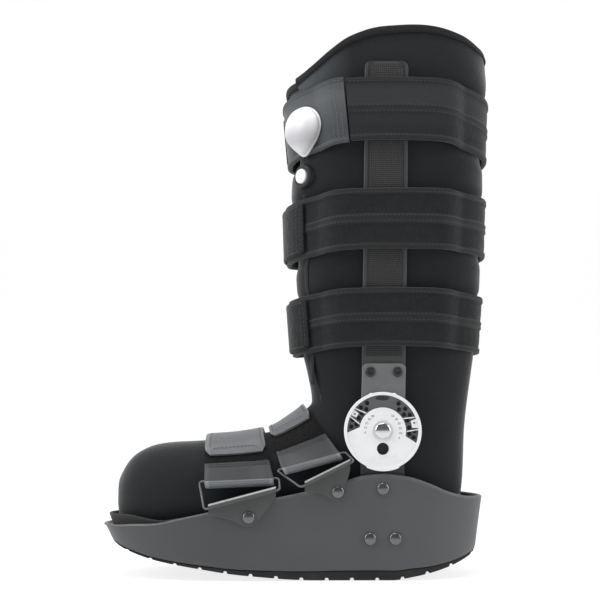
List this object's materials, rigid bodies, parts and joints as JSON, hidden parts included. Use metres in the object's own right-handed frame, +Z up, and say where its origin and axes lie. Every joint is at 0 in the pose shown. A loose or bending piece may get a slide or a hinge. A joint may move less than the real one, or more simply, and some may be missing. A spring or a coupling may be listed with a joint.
{
  "type": "hinged walking boot",
  "caption": "Tall hinged walking boot: a rocker base, a padded liner, side uprights with hinge dials, straps with ring loops and an air pump.",
  "frame": {"origin": "on the floor, at the underside of the tread, under the axis of the ankle hinge and midway between the two sides", "axes": "+Z up along the leg, -X towards the toe, -Y towards the wearer's left side of the boot, which carries the pump"},
  "size_m": [0.3102, 0.1396, 0.4258],
  "materials": {
    "shell": "satin",
    "outsole": "matte",
    "footbed": "matte",
    "liner": "matte",
    "binding": "matte",
    "leg_strap": "matte",
    "panel": "matte",
    "foot_strap": "satin",
    "strut": "satin",
    "tape": "matte",
    "plate": "satin",
    "stop_plate": "satin",
    "dial": "satin",
    "rivet": "satin",
    "chafe": "satin",
    "ring": "satin",
    "bulb": "satin",
    "collar": "satin"
  },
  "bodies": {
    "boot": {"base_shell": "shell", "outsole": "outsole", "footbed": "footbed", "liner": "liner", "top_binding": "binding", "leg_strap_top": "leg_strap", "leg_strap_middle": "leg_strap", "leg_strap_lower": "leg_strap", "strap_tab_top": "leg_strap", "strap_tab_middle": "leg_strap", "strap_tab_lower": "leg_strap", "pump_panel": "panel", "pump_bulb": "bulb", "valve_collar": "collar", "foot_strap": "foot_strap", "ankle_strap": "foot_strap", "strut_left": "strut", "strut_right": "strut", "hook_tape_left": "tape", "hook_tape_right": "tape", "bracket_left": "plate", "bracket_right": "plate", "hinge_arm_left": "plate", "hinge_arm_right": "plate", "dial_left": "dial", "dial_right": "dial", "stop_plate_left": "stop_plate", "stop_plate_right": "stop_plate", "pivot_rivet_left": "rivet", "pivot_rivet_right": "rivet", "bracket_rivet_front_left": "rivet", "bracket_rivet_back_left": "rivet", "bracket_rivet_front_right": "rivet", "bracket_rivet_back_right": "rivet", "arm_rivet_top_left": "rivet", "arm_rivet_front_left": "rivet", "arm_rivet_back_left": "rivet", "arm_rivet_top_right": "rivet", "arm_rivet_front_right": "rivet", "arm_rivet_back_right": "rivet", "chafe_foot_strap_left": "chafe", "chafe_foot_strap_right": "chafe", "chafe_ankle_strap_left": "chafe", "chafe_ankle_strap_right": "chafe", "ring_foot_strap_left": "ring", "ring_foot_strap_right": "ring", "ring_ankle_strap_left": "ring", "ring_ankle_strap_right": "ring", "chafe_rivet_foot_strap_left": "rivet", "chafe_rivet_foot_strap_right": "rivet", "chafe_rivet_ankle_strap_left": "rivet", "chafe_rivet_ankle_strap_right": "rivet"},
    "valve_button": {"valve_button": "bulb"}
  },
  "joints": [
    {"name": "valve_press", "type": "slide", "parent": "boot", "child": "valve_button", "axis": [0.7322, 0.6811, 0], "range_m": [0, 0.002], "stiffness_N_per_m": 250}
  ]
}
